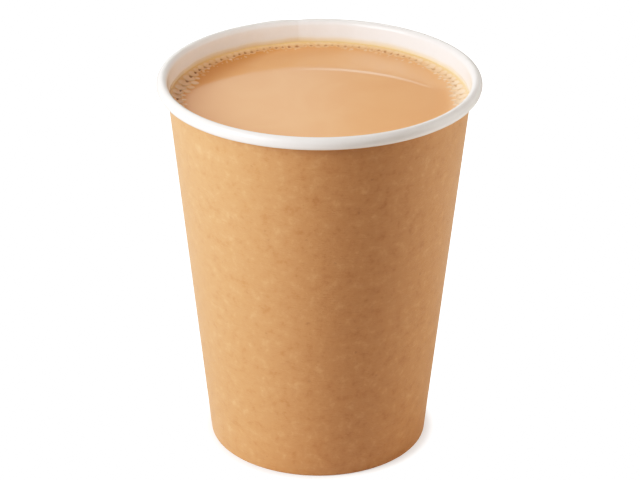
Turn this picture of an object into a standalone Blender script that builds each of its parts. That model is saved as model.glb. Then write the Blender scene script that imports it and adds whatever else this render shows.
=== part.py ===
"""A single-wall paper cup of oolong milk tea: the wall with its rolled rim and folded foot, the base
disc, and the tea with the ring of bubbles at its edge. Metres, +Z up, the middle of the foot at the
origin."""

import math
import random

import bmesh
import bpy

MM = 0.001

# The cup
CUP_HEIGHT = 110 * MM
RIM_DIAMETER = 90 * MM
BASE_DIAMETER = 62.4 * MM
BOARD = 0.4 * MM  # thickness of the paper board
CLEARANCE = 0.3 * MM  # between pieces that touch in the real cup
SIDES = 68  # flat faces round every turned piece

# The rolled rim: the board curls outwards, and its edge tucks in beside the wall
ROLL_WIDTH = 3.12 * MM
ROLL_HEIGHT = 3.45 * MM
ROLL_TURN = math.radians(345)
ROLL_TIGHTENS_AFTER = math.radians(210)
ROLL_END_SHARE = 0.6  # how far the roll has tightened where it ends
ROLL_STEPS = 12

# The foot: the wall folds in and up round the flange of the base disc
FOLD_RADIUS = 0.45 * MM  # of the middle of the board
FOLD_STEPS = 3
SKIRT_HEIGHT = 7.2 * MM
RECESS_DEPTH = 9 * MM  # from the table to the upper face of the base disc
DISC_BEND_RADIUS = 0.8 * MM  # of the middle of the board
DISC_BEND_STEPS = 2
FLANGE_BOTTOM = 1.1 * MM

# The side seam: the wall overlaps itself at the back
SEAM_AZIMUTH = math.radians(100)
SEAM_SIDES = 2  # the overlap's width, in flat faces
SEAM_PROUD = 0.35 * MM
SEAM_BITE = 0.15 * MM  # how far the strip reaches into the wall, so that the two fuse
SEAM_BOTTOM = 1.2 * MM
SEAM_TOP = 106.3 * MM

# The tea
TEA_LEVEL = 102.5 * MM
MENISCUS_RISE = 1.2 * MM
MENISCUS_LENGTH = 2.4 * MM  # the distance over which the rise falls to 1/e
MENISCUS_REACH = 7 * MM
MENISCUS_STEPS = 6

# The bubbles round the edge of the tea: larger at its left and right, where they gather
BUBBLE_SEED = 12
BUBBLE_AT_BACK = 1.15 * MM  # radii
BUBBLE_AT_SIDES = 1.6 * MM
BUBBLE_UNEVEN = 0.22  # how far one bubble's radius may differ, as a share
BUBBLE_TALL = 0.5  # the dome's height, as a share of its radius
BUBBLE_GAP = 0.14 * MM
BUBBLE_EDGE_GAP = 0.12 * MM
BUBBLE_SIDES = 8
BUBBLE_RINGS = 4

# Worked out from the sizes above
BASE_RADIUS = BASE_DIAMETER / 2
ROLL_ACROSS = (ROLL_WIDTH - BOARD) / 2  # half the roll's width, to the middle of the board
ROLL_TALLER = (ROLL_HEIGHT - BOARD) / (ROLL_WIDTH - BOARD)
ROLL_CENTRE = ((RIM_DIAMETER - ROLL_WIDTH) / 2, CUP_HEIGHT - ROLL_HEIGHT / 2)
# The wall runs straight from the foot to touch the roll's inner side, which sets its lean.
ROLL_OUT = ROLL_CENTRE[0] - BASE_RADIUS
WALL_LEAN = math.acos(
    (ROLL_ACROSS - BOARD / 2) / math.hypot(ROLL_OUT, ROLL_CENTRE[1])
) - math.atan2(ROLL_CENTRE[1], ROLL_OUT)


def wall_radius(z):
    """Radius of the wall's outer face at height z."""
    return BASE_RADIUS + z * math.tan(WALL_LEAN)


def beside_wall(z, inwards):
    """The point (radius, z) that lies this far in from the wall's outer face, square to it."""
    return (wall_radius(z) - inwards / math.cos(WALL_LEAN), z)


def arc(centre, radius, start, end, steps):
    """Points of an arc, ends included, with angles counted from the radial direction towards +Z."""
    angles = [start + (end - start) * i / steps for i in range(steps + 1)]
    return [(centre[0] + radius * math.cos(a), centre[1] + radius * math.sin(a)) for a in angles]


def thickened(path, thickness):
    """The closed outline of a strip of this thickness along the path, clockwise: its left side, then
    its right side back."""
    left, right = [], []
    for i, (x, z) in enumerate(path):
        before, after = path[max(i - 1, 0)], path[min(i + 1, len(path) - 1)]
        into = math.atan2(z - before[1], x - before[0]) if i else None
        out = math.atan2(after[1] - z, after[0] - x) if i < len(path) - 1 else None
        if into is None:
            into = out
        if out is None:
            out = into
        turn = math.remainder(out - into, 2 * math.pi)
        square = into + turn / 2 + math.pi / 2
        reach = thickness / 2 / math.cos(turn / 2)  # keeps the thickness even at a corner
        left.append((x + reach * math.cos(square), z + reach * math.sin(square)))
        right.append((x - reach * math.cos(square), z - reach * math.sin(square)))
    return left + right[::-1]


def skirt_and_fold():
    """Middle of the board from the skirt's upper edge, down, under the foot and out to the wall."""
    skirt_in = 5 * BOARD / 2 + 2 * CLEARANCE
    fold_z = BOARD / 2 + FOLD_RADIUS
    top = beside_wall(SKIRT_HEIGHT, skirt_in)
    inner = beside_wall(fold_z, skirt_in - FOLD_RADIUS)
    outer = beside_wall(fold_z, BOARD / 2 + FOLD_RADIUS)
    down = -math.pi / 2
    return [
        top,
        *arc(inner, FOLD_RADIUS, -math.pi - WALL_LEAN, down, FOLD_STEPS),
        *arc(outer, FOLD_RADIUS, down, -WALL_LEAN, FOLD_STEPS),
    ]


def rolled_rim():
    """Middle of the board round the rim's roll, from where it leaves the wall to its hidden edge."""
    points = []
    for i in range(ROLL_STEPS + 1):
        turned = ROLL_TURN * i / ROLL_STEPS
        done = max(0, turned - ROLL_TIGHTENS_AFTER) / (ROLL_TURN - ROLL_TIGHTENS_AFTER)
        across = ROLL_ACROSS * (1 + (ROLL_END_SHARE - 1) * done)
        angle = math.pi - WALL_LEAN - turned
        out = across * math.cos(angle)
        up = across * ROLL_TALLER * math.sin(angle)
        points.append((ROLL_CENTRE[0] + out, ROLL_CENTRE[1] + up))
    return points


def base_profile():
    """The base disc's outline from the axis out along its upper face, round the flange and back."""
    flange_in = 3 * BOARD / 2 + CLEARANCE
    bend_z = RECESS_DEPTH - BOARD / 2 - DISC_BEND_RADIUS
    bend = beside_wall(bend_z, flange_in + DISC_BEND_RADIUS)
    middle = [
        *arc(bend, DISC_BEND_RADIUS, math.pi / 2, -WALL_LEAN, DISC_BEND_STEPS),
        beside_wall(FLANGE_BOTTOM, flange_in),
    ]
    outline = thickened([(bend[0] / 2, RECESS_DEPTH - BOARD / 2), *middle], BOARD)
    outline[0] = (0, outline[0][1])
    outline[-1] = (0, outline[-1][1])
    return outline


def tea_radius(z):
    """Radius of the tea's side at height z, clear of the wall's inner face."""
    return beside_wall(z, BOARD + CLEARANCE)[0]


def tea_surface(from_edge):
    """Height of the tea's surface this far in from its edge: the level, and an exponential rise."""
    return TEA_LEVEL + MENISCUS_RISE * math.exp(-from_edge / MENISCUS_LENGTH)


def tea_profile():
    """The tea's outline from the axis along its surface, up the meniscus, down its side and back."""
    edge = tea_radius(TEA_LEVEL + MENISCUS_RISE)
    distances = [MENISCUS_REACH * (1 - i / MENISCUS_STEPS) ** 2 for i in range(MENISCUS_STEPS + 1)]
    bottom = RECESS_DEPTH + CLEARANCE
    return [
        (0, TEA_LEVEL),
        (edge - 1.3 * MENISCUS_REACH, TEA_LEVEL),
        *[(edge - d, tea_surface(d)) for d in distances],
        (tea_radius(bottom), bottom),
        (0, bottom),
    ]


def bubble_ring():
    """(azimuth, radius) of the bubbles, drawn one after another until they fill the tea's edge."""
    draw = random.Random(BUBBLE_SEED)
    across = tea_radius(TEA_LEVEL) - BUBBLE_EDGE_GAP - (BUBBLE_AT_BACK + BUBBLE_AT_SIDES) / 2
    azimuth, ring = 0, []
    while azimuth < 2 * math.pi:
        usual = BUBBLE_AT_BACK + (BUBBLE_AT_SIDES - BUBBLE_AT_BACK) * math.cos(azimuth) ** 2
        radius = usual * (1 + BUBBLE_UNEVEN * draw.uniform(-1, 1))
        half = (radius + BUBBLE_GAP / 2) / across
        ring.append((azimuth + half, radius))
        azimuth += 2 * half
    closing = 2 * math.pi / azimuth  # draws the ring together so that its ends just meet
    return [(place * closing, radius * closing) for place, radius in ring]


def new_collection(name):
    """An empty collection in the scene."""
    collection = bpy.data.collections.new(name)
    bpy.context.scene.collection.children.link(collection)
    return collection


def new_material(name, colour, roughness):
    """A non-metallic Principled BSDF of one colour."""
    material = bpy.data.materials.new(name)
    material.use_nodes = True
    shader = material.node_tree.nodes["Principled BSDF"]
    shader.inputs["Base Color"].default_value = (*colour, 1)
    shader.inputs["Roughness"].default_value = roughness
    shader.inputs["Metallic"].default_value = 0
    return material


def mesh_object(name, mesh, collection, material=None):
    """An object that shows the mesh, in the collection."""
    obj = bpy.data.objects.new(name, mesh)
    collection.objects.link(obj)
    if material:
        mesh.materials.append(material)
    return obj


def turned(name, outline, collection, material=None, closed=False, sides=SIDES):
    """The outline in the XZ plane, turned round Z by a Screw modifier through this many sides."""
    count = len(outline)
    edges = [(i, (i + 1) % count) for i in range(count if closed else count - 1)]
    mesh = bpy.data.meshes.new(name)
    mesh.from_pydata([(x, 0, z) for x, z in outline], edges, [])
    obj = mesh_object(name, mesh, collection, material)
    screw = obj.modifiers.new("turn", "SCREW")
    screw.axis = "Z"
    screw.angle = 2 * math.pi * sides / SIDES
    screw.steps = screw.render_steps = sides
    screw.use_merge_vertices = sides == SIDES
    screw.merge_threshold = 0.00001
    return obj


def fuse(obj, others):
    """Joins the collection's objects to obj by one Boolean union, applies it and removes them."""
    union = obj.modifiers.new("join", "BOOLEAN")
    union.operation = "UNION"
    union.operand_type = "COLLECTION"
    union.collection = others
    union.solver = "EXACT"
    graph = bpy.context.evaluated_depsgraph_get()
    joined = bpy.data.meshes.new_from_object(obj.evaluated_get(graph))
    obj.modifiers.clear()
    obj.data = joined
    for other in list(others.objects):
        bpy.data.objects.remove(other)
    bpy.data.collections.remove(others)
    joined.shade_smooth()
    joined.set_sharp_from_angle(angle=math.radians(35))


def build_wall(cup, board):
    """The wall, its rolled rim and its folded foot, with the overlap of the side seam."""
    outline = thickened(skirt_and_fold() + rolled_rim(), BOARD)
    wall = turned("cup_wall", outline, cup, board, closed=True)
    seams = new_collection("seam")
    middle = (SEAM_BITE - SEAM_PROUD) / 2
    ends = [beside_wall(SEAM_TOP, middle), beside_wall(SEAM_BOTTOM, middle)]
    strip = turned("overlap", ends, seams, sides=SEAM_SIDES)
    thick = strip.modifiers.new("board", "SOLIDIFY")
    thick.thickness = SEAM_PROUD + SEAM_BITE
    thick.offset = 0
    wall.rotation_euler.z = strip.rotation_euler.z = SEAM_AZIMUTH
    fuse(wall, seams)


def build_base(cup, board):
    """The base disc, a shallow cap whose flange stands in the folded foot."""
    disc = turned("cup_base", base_profile(), cup, board)
    disc.rotation_euler.z = SEAM_AZIMUTH


def build_tea(cup, tea):
    """The tea up to its level, its meniscus and the bubbles round its edge."""
    body = turned("milk_tea", tea_profile(), cup, tea)
    body.rotation_euler.z = SEAM_AZIMUTH
    bubbles = new_collection("bubbles")
    edge = tea_radius(TEA_LEVEL + MENISCUS_RISE)
    for azimuth, radius in bubble_ring():
        ball = bmesh.new()
        bmesh.ops.create_uvsphere(
            ball, u_segments=BUBBLE_SIDES, v_segments=BUBBLE_RINGS, radius=radius
        )
        bmesh.ops.scale(ball, vec=(1, 1, BUBBLE_TALL), verts=ball.verts)
        mesh = bpy.data.meshes.new("bubble")
        ball.to_mesh(mesh)
        ball.free()
        bubble = mesh_object("bubble", mesh, bubbles)
        inwards = radius + BUBBLE_EDGE_GAP
        across = edge - inwards
        bubble.location = (
            across * math.cos(azimuth), across * math.sin(azimuth), tea_surface(inwards)
        )
        bubble.rotation_euler.z = azimuth
    fuse(body, bubbles)


def main():
    for obj in list(bpy.data.objects):
        bpy.data.objects.remove(obj)
    cup = new_collection("cup_of_milk_tea")
    kraft = new_material("kraft_board", (0.64, 0.36, 0.17), 0.75)
    lining = new_material("lined_board", (0.80, 0.79, 0.76), 0.5)
    tea = new_material("milk_tea", (0.72, 0.41, 0.21), 0.12)
    build_wall(cup, kraft)
    build_base(cup, lining)
    build_tea(cup, tea)


main()
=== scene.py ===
"""The looks of a paper cup of oolong milk tea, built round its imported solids.

Metres, +Z up, with the middle of the foot at the origin. The front faces -Y, and the side seam is at
the back. The cup is one board of two plies, brown kraft outside and white lined inside, that is
rolled outwards at the rim and folded in at the foot.
"""

import logging
import math
import random
from dataclasses import astuple, dataclass, field
from enum import Enum

import bpy
import numpy as np
from mathutils import Euler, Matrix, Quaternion


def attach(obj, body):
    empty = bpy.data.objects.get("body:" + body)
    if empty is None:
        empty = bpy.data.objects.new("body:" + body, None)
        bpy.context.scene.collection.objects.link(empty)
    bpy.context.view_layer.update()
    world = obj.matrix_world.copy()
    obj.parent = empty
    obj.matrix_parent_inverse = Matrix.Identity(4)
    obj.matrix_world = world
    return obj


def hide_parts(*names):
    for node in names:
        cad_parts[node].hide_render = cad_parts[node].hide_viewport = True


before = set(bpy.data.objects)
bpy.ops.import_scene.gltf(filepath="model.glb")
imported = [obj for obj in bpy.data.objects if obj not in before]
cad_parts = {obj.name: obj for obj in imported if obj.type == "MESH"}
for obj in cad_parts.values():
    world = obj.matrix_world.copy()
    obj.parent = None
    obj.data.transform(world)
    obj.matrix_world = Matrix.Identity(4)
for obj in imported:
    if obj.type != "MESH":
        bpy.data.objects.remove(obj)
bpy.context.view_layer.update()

LOG = logging.getLogger("cup_of_milk_tea")
MM = 0.001
TURN = 2 * math.pi

Array = np.ndarray
Span = tuple[float, float]
Colour = tuple[float, float, float]
Socket = bpy.types.NodeSocket
WHITE: Colour = (1.0, 1.0, 1.0)
BLACK: Colour = (0.0, 0.0, 0.0)
FLAT_MAP = "flat_blank"
FLAT_CREASE = 30
TEA_IOR = 1.34


class Solid(str, Enum):
    """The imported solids."""

    WALL = "cup_wall"
    BASE = "cup_base"
    TEA = "milk_tea"


class Slot(str, Enum):
    """The record's material slots."""

    KRAFT = "kraft_board"
    LINED = "lined_board"
    TEA = "milk_tea"


class Mark(str, Enum):
    """The values that a mesh holds for each of its points, for its material to read."""

    RICHNESS = "richness"
    # Painted shade along the tea's edge, which also stands in for the reflection of the shaded wall.
    STEEPED = "steeped"
    # Painted shade in the pits between the bubbles, darker at the left.
    HOLLOW = "hollow"
    FROTH = "froth"
    # How pale and opaque a film is: a painted reflection that grows towards its foot.
    DENSITY = "density"
    GLOW = "glow"


class Layer(Enum):
    """The two plies of the board, as the shares of its thickness that they span from the white face."""

    LINING = (0.0, 0.28)
    KRAFT = (0.28, 1.0)


# ---------------------------------------------------------------------------------------------------
# Surfaces


def smooth_step(low: float, high: float, value: Array) -> Array:
    """The cubic 3t^2 - 2t^3, with t rising from 0 where value is low to 1 where it is high."""
    t = np.clip((value - low) / (high - low), 0, 1)
    return t * t * (3 - 2 * t)


def between(ends: Span, share: float | Array) -> float | Array:
    """What lies this share of the way from the first end to the second."""
    return ends[0] + (ends[1] - ends[0]) * share


def arc(centre: Span, radius: float, start: float, end: float, steps: int) -> Array:
    """The points centre + radius * (cos a, sin a) of an arc, for steps + 1 angles a from start to end."""
    angle = np.linspace(start, end, steps + 1)
    return np.stack([centre[0] + radius * np.cos(angle), centre[1] + radius * np.sin(angle)], axis=1)


def turned_points(radius: Array, height: Array, azimuth: Array) -> Array:
    """Cylinder coordinates as points: (radius * cos azimuth, radius * sin azimuth, height)."""
    radius, height, azimuth = np.broadcast_arrays(radius, height, azimuth)
    return np.stack([radius * np.cos(azimuth), radius * np.sin(azimuth), height], axis=-1)


def right_of(path: Array) -> Array:
    """Unit vectors square to a flat path, on its right: its slope (x, y) turned to (y, -x).

    Args:
        path: Points as rows of radius and height.

    Returns:
        One vector a point.
    """
    ahead = np.gradient(path, axis=0)
    ahead /= np.linalg.norm(ahead, axis=1, keepdims=True)
    return np.stack([ahead[:, 1], -ahead[:, 0]], axis=1)


def grid_quads(rows: int, columns: int, closed: bool = True) -> Array:
    """Corner numbers of the quads of a grid whose points are numbered row by row.

    Args:
        rows: Rows of points.
        columns: Columns of points.
        closed: Whether the last column joins on to the first.

    Returns:
        One quad a row. With rows going up and columns turning anticlockwise, they face outwards.
    """
    down = np.arange(rows - 1)[:, None]
    along = np.arange(columns if closed else columns - 1)[None, :]
    up, on = down + 1, (along + 1) % columns
    corners = [down * columns + along, down * columns + on, up * columns + on, up * columns + along]
    return np.stack(corners, axis=-1).reshape(-1, 4)


def fan(pole: int, ring: Array, outwards: bool = True) -> Array:
    """Triangles from a pole to a closed ring of points.

    Args:
        pole: The pole's number.
        ring: The ring's numbers, anticlockwise seen from outside.
        outwards: False turns the triangles over.

    Returns:
        One triangle a row.
    """
    following = np.roll(ring, -1)
    pair = [ring, following] if outwards else [following, ring]
    return np.stack([np.full(len(ring), pole), *pair], axis=-1)


def turned_shell(rings: Array, lowest: float, highest: float) -> tuple[Array, list[Array]]:
    """Closes a stack of rings about Z with a pole on the axis at each end.

    Args:
        rings: The rings' points, from the first ring outwards, up and in again to the last.
        lowest: Height of the pole that the first ring runs round.
        highest: Height of the pole that the last ring runs round.

    Returns:
        The points, with the two poles last, and the faces in groups.
    """
    rows, columns = rings.shape[:2]
    count = rows * columns
    points = np.concatenate([rings.reshape(-1, 3), [[0, 0, lowest], [0, 0, highest]]])
    under = fan(count, np.arange(columns), outwards=False)
    over = fan(count + 1, np.arange(count - columns, count))
    return points, [grid_quads(rows, columns), under, over]


@dataclass
class Surface:
    """A mesh in arrays: its points, its faces in groups of one corner count, and a value per point
    for each mark."""

    points: Array
    faces: list[Array]
    marks: dict[Mark, Array] = field(default_factory=dict)
    flat_map: Array | None = None

    def to_object(self, name: str, material: bpy.types.Material, sharp: float) -> bpy.types.Object:
        """Puts the arrays into a mesh and links its object to the scene.

        Args:
            name: Name of the piece.
            material: Its material.
            sharp: Angle in degrees above which an edge is sharp.

        Returns:
            The object, at the origin.
        """
        mesh = bpy.data.meshes.new(name)
        faces = [face for group in self.faces for face in group.tolist()]
        mesh.from_pydata(self.points.reshape(-1, 3).tolist(), [], faces)
        for mark, values in self.marks.items():
            layer = mesh.attributes.new(mark.value, "FLOAT", "POINT")
            layer.data.foreach_set("value", values.ravel().astype(np.float32))
        if self.flat_map is not None:
            corners = np.zeros(len(mesh.loops), np.int32)
            mesh.loops.foreach_get("vertex_index", corners)
            layer = mesh.uv_layers.new(name=FLAT_MAP)
            layer.uv.foreach_set("vector", self.flat_map.reshape(-1, 2)[corners].ravel().astype(np.float32))
        mesh.materials.append(material)
        mesh.shade_smooth()
        mesh.set_sharp_from_angle(angle=math.radians(sharp))
        piece = bpy.data.objects.new(name, mesh)
        bpy.context.scene.collection.objects.link(piece)
        return piece


# ---------------------------------------------------------------------------------------------------
# Shader nodes


@dataclass
class NodeSheet:
    """A node tree, with short calls that add its nodes and link them."""

    tree: bpy.types.NodeTree

    def add(self, kind: str, **settings: object) -> bpy.types.Node:
        """A new node of this kind, with these attributes set.

        Args:
            kind: The node's type name.
            **settings: Attribute names and their values.

        Returns:
            The node.
        """
        node = self.tree.nodes.new(kind)
        for name, value in settings.items():
            setattr(node, name, value)
        return node

    def feed(self, node: bpy.types.Node, **inputs: object) -> bpy.types.Node:
        """Links or sets a node's inputs.

        Args:
            node: The node.
            **inputs: Input names, with _ for a space, and a socket to link or a value to set.

        Returns:
            The same node.
        """
        for name, value in inputs.items():
            self.join(node.inputs[name.replace("_", " ")], value)
        return node

    def join(self, socket: Socket, value: object) -> None:
        """Links a socket to an input, or sets the input.

        Args:
            socket: The input.
            value: A socket to link, or a number, a vector or an opaque colour to set.
        """
        if isinstance(value, Socket):
            self.tree.links.new(value, socket)
        else:
            socket.default_value = (*value, 1) if socket.type == "RGBA" else value

    def maths(self, operation: str, *values: Socket | float) -> Socket:
        """The result of a Math node.

        Args:
            operation: The node's operation.
            *values: One, two or three sockets or numbers.

        Returns:
            The result.
        """
        node = self.add("ShaderNodeMath", operation=operation)
        for socket, value in zip(node.inputs, values):
            self.join(socket, value)
        return node.outputs[0]

    def range(self, value: Socket, low: float, high: float, to_low: float = 0, to_high: float = 1) -> Socket:
        """A smooth step of a value from one range to another.

        Args:
            value: The value.
            low: Where the result is to_low.
            high: Where the result is to_high.
            to_low: Result at low and below.
            to_high: Result at high and above.

        Returns:
            The result.
        """
        node = self.add("ShaderNodeMapRange", interpolation_type="SMOOTHSTEP")
        self.feed(node, Value=value, From_Min=low, From_Max=high, To_Min=to_low, To_Max=to_high)
        return node.outputs["Result"]

    def mix(self, factor: Socket, first: Socket | Colour, second: Socket | Colour) -> Socket:
        """The colour between two colours.

        Args:
            factor: 0 for the first, 1 for the second.
            first: A socket or a colour.
            second: A socket or a colour.

        Returns:
            The mixed colour.
        """
        node = self.add("ShaderNodeMix", data_type="RGBA")
        colour_inputs = [socket for socket in node.inputs if socket.type == "RGBA"]
        for socket, value in zip((node.inputs[0], *colour_inputs), (factor, first, second)):
            self.join(socket, value)
        return next(socket for socket in node.outputs if socket.type == "RGBA")

    def noise(self, vector: Socket, scale: float, detail: float, distortion: float = 0) -> Socket:
        """A Noise Texture's value, about 0.5 on average.

        Args:
            vector: Where to read it, in metres.
            scale: Features per metre.
            detail: Octaves.
            distortion: How far it is warped.

        Returns:
            The value.
        """
        node = self.add("ShaderNodeTexNoise")
        self.feed(node, Vector=vector, Scale=scale, Detail=detail, Distortion=distortion)
        return node.outputs[0]

    def ripple(self, vector: Socket, scale: float, detail: float) -> Socket:
        """A Noise Texture's value less its average, so that it lies about 0."""
        return self.maths("SUBTRACT", self.noise(vector, scale, detail), 0.5)

    def moved(self, vector: Socket, turn: float, stretch: tuple[float, float, float]) -> Socket:
        """Turns a pattern about Z and stretches it.

        Args:
            vector: Where the pattern is read.
            turn: Its turn in radians.
            stretch: Its scale along X, Y and Z.

        Returns:
            The vector to read it at instead.
        """
        node = self.add("ShaderNodeMapping")
        self.feed(node, Vector=vector, Rotation=(0, 0, turn), Scale=stretch)
        return node.outputs["Vector"]

    def bump(self, height: Socket, distance: float) -> Socket:
        """The normal of a surface with a fine relief.

        Args:
            height: The relief's height as a share of distance.
            distance: Its depth in metres.

        Returns:
            The normal.
        """
        node = self.add("ShaderNodeBump")
        self.feed(node, Height=height, Distance=distance)
        return node.outputs["Normal"]

    def place(self) -> Socket:
        """Where a point of the piece lies, in metres."""
        return self.add("ShaderNodeTexCoord").outputs["Object"]

    def mark(self, mark: Mark) -> Socket:
        """A value that the piece's mesh holds for each of its points."""
        return self.add("ShaderNodeAttribute", attribute_name=mark.value).outputs["Fac"]

    def grain(self, vector: Socket) -> bpy.types.bpy_prop_collection:
        """The outputs of the paper grain, read at this vector."""
        node = self.add("ShaderNodeGroup", node_tree=PaperGrain().group())
        return self.feed(node, Vector=vector).outputs


def new_material(name: str) -> tuple[bpy.types.Material, NodeSheet, bpy.types.Node]:
    """A new material.

    Args:
        name: Its name.

    Returns:
        The material, its node sheet and its Principled BSDF.
    """
    material = bpy.data.materials.new(name)
    material.use_nodes = True
    return material, NodeSheet(material.node_tree), material.node_tree.nodes["Principled BSDF"]


def new_group(
    name: str, inputs: dict[str, str], outputs: dict[str, str]
) -> tuple[NodeSheet, bpy.types.Node, bpy.types.Node]:
    """An empty shader node group.

    Args:
        name: Name of the group.
        inputs: Its inputs and their socket types.
        outputs: Its outputs and their socket types.

    Returns:
        The group's node sheet, its input node and its output node.
    """
    tree = bpy.data.node_groups.new(name, "ShaderNodeTree")
    for way, sockets in (("INPUT", inputs), ("OUTPUT", outputs)):
        for label, kind in sockets.items():
            tree.interface.new_socket(label, in_out=way, socket_type=kind)
    sheet = NodeSheet(tree)
    return sheet, sheet.add("NodeGroupInput"), sheet.add("NodeGroupOutput")


@dataclass(frozen=True)
class PaperGrain:
    """What every board's face shows: clouded pulp, fine fibres that lie across each other, and specks.
    The scales are in features per metre, and each strand has its turn in degrees and its scale."""

    name: str = "paper_grain"
    broad_scale: float = 300
    fine_scale: float = 900
    octaves: float = 3
    broad_share: float = 1.2
    fine_share: float = 0.6
    strands: tuple[Span, ...] = ((12, 2600), (58, 3100), (-40, 2800), (96, 3300))
    strand_length: float = 7
    strand_warp: float = 0.6
    strand_seen: Span = (0.56, 0.74)
    speck_scale: float = 300
    speck_size: Span = (0.2, 0.05)
    patch_scale: float = 520
    patch_from: float = 0.6
    fibre_relief: float = 0.6

    def group(self) -> bpy.types.NodeTree:
        """The node group, built when it is first asked for.

        Returns:
            A group that reads a vector in metres and puts out Cloud and Fibres, about 0, Specks, from
            0 to 1, and Height, about 0.
        """
        if self.name in bpy.data.node_groups:
            return bpy.data.node_groups[self.name]
        outputs = dict.fromkeys(("Cloud", "Fibres", "Specks", "Height"), "NodeSocketFloat")
        sheet, start, end = new_group(self.name, {"Vector": "NodeSocketVector"}, outputs)
        where = start.outputs["Vector"]
        broad = sheet.ripple(where, self.broad_scale, self.octaves)
        fine = sheet.ripple(where, self.fine_scale, self.octaves)
        fine_cloud = sheet.maths("MULTIPLY", fine, self.fine_share)
        cloud = sheet.maths("MULTIPLY_ADD", broad, self.broad_share, fine_cloud)
        fibres = None
        for turn, across in self.strands:
            lain = sheet.moved(where, math.radians(turn), (across / self.strand_length, across, across))
            drawn = sheet.noise(lain, scale=1, detail=2, distortion=self.strand_warp)
            strand = sheet.range(drawn, *self.strand_seen)
            fibres = strand if fibres is None else sheet.maths("SUBTRACT", strand, fibres)
        cells = sheet.feed(sheet.add("ShaderNodeTexVoronoi"), Vector=where, Scale=self.speck_scale)
        patches = sheet.noise(where, self.patch_scale, detail=0)
        chosen = sheet.maths("GREATER_THAN", patches, self.patch_from)
        dots = sheet.range(cells.outputs["Distance"], *self.speck_size)
        specks = sheet.maths("MULTIPLY", dots, chosen)
        height = sheet.maths("MULTIPLY_ADD", fibres, self.fibre_relief, fine)
        sheet.feed(end, Cloud=cloud, Fibres=fibres, Specks=specks, Height=height)
        return sheet.tree


# ---------------------------------------------------------------------------------------------------
# Finishes


@dataclass(frozen=True)
class KraftFinish:
    """Uncoated brown kraft: clouded, with pale and dark fibres and a few specks of bark."""

    tone: Colour = (0.538, 0.266, 0.113)
    pale: Colour = (0.615, 0.326, 0.154)
    dark: Colour = (0.460, 0.208, 0.077)
    bark: Colour = (0.29, 0.132, 0.052)
    cloud_full: float = 0.42
    fibres_from: float = 0.1
    pale_fibres: float = 0.19
    dark_fibres: float = 0.23
    bark_strength: float = 0.3
    roughness: float = 0.42
    cloud_roughness: float = 0.12
    gloss: float = 0.6
    relief: float = 0.035 * MM

    def material(self) -> bpy.types.Material:
        """Builds the finish on the flat map of the piece.

        Returns:
            The material.
        """
        material, sheet, shader = new_material("kraft_paper")
        grain = sheet.grain(sheet.add("ShaderNodeUVMap", uv_map=FLAT_MAP).outputs["UV"])
        cloud, fibres = grain["Cloud"], grain["Fibres"]
        colour = sheet.mix(sheet.range(cloud, 0, self.cloud_full), self.tone, self.pale)
        colour = sheet.mix(sheet.range(cloud, 0, -self.cloud_full), colour, self.dark)
        for side, most, tone in ((1, self.pale_fibres, self.pale), (-1, self.dark_fibres, self.dark)):
            seen = sheet.range(fibres, side * self.fibres_from, side, 0, most)
            colour = sheet.mix(seen, colour, tone)
        colour = sheet.mix(sheet.maths("MULTIPLY", grain["Specks"], self.bark_strength), colour, self.bark)
        sheet.feed(
            shader,
            Base_Color=colour,
            Roughness=sheet.maths("MULTIPLY_ADD", cloud, self.cloud_roughness, self.roughness),
            Specular_IOR_Level=self.gloss,
            Normal=sheet.bump(grain["Height"], self.relief),
        )
        return material


@dataclass(frozen=True)
class LiningFinish:
    """White board under a thin clear lining, stained amber where the tea has wetted it."""

    tone: Colour = (0.905, 0.855, 0.805)
    shade: Colour = (0.875, 0.825, 0.77)
    film: Colour = (0.85, 0.59, 0.31)
    cloud_full: float = 0.4
    wet_from: float = 103.4 * MM
    dry_from: float = 105.9 * MM
    ragged: float = 0.45 * MM
    ragged_scale: float = 140
    roughness: float = 0.34
    wet_smoother: float = 0.22
    coat: float = 1.0
    coat_roughness: float = 0.12
    relief: float = 0.012 * MM

    def material(self) -> bpy.types.Material:
        """Builds the finish on Object coordinates.

        Returns:
            The material.
        """
        material, sheet, shader = new_material("lined_paper")
        place = sheet.place()
        grain = sheet.grain(place)
        cloud = sheet.range(grain["Cloud"], -self.cloud_full, self.cloud_full)
        height = sheet.feed(sheet.add("ShaderNodeSeparateXYZ"), Vector=place).outputs["Z"]
        wander = sheet.ripple(place, self.ragged_scale, detail=2)
        height = sheet.maths("MULTIPLY_ADD", wander, 2 * self.ragged, height)
        wet = sheet.range(height, self.dry_from, self.wet_from)
        sheet.feed(
            shader,
            Base_Color=sheet.mix(wet, sheet.mix(cloud, self.shade, self.tone), self.film),
            Roughness=sheet.maths("MULTIPLY_ADD", wet, -self.wet_smoother, self.roughness),
            Coat_Weight=self.coat,
            Coat_Roughness=self.coat_roughness,
            Normal=sheet.bump(grain["Height"], self.relief),
        )
        return material


@dataclass(frozen=True)
class BareBoardFinish:
    """The unlined underside of the base disc: white board with a soft grain."""

    tone: Colour = (0.80, 0.785, 0.755)
    shade: Colour = (0.71, 0.69, 0.65)
    cloud_full: float = 0.4
    speck_strength: float = 0.25
    roughness: float = 0.8
    relief: float = 0.03 * MM

    def material(self) -> bpy.types.Material:
        """Builds the finish on Object coordinates.

        Returns:
            The material.
        """
        material, sheet, shader = new_material("bare_board")
        grain = sheet.grain(sheet.place())
        cloud = sheet.range(grain["Cloud"], -self.cloud_full, self.cloud_full)
        colour = sheet.mix(cloud, self.shade, self.tone)
        specks = sheet.maths("MULTIPLY", grain["Specks"], self.speck_strength)
        colour = sheet.mix(specks, colour, self.shade)
        normal = sheet.bump(grain["Height"], self.relief)
        sheet.feed(shader, Base_Color=colour, Roughness=self.roughness, Normal=normal)
        return material


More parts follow.
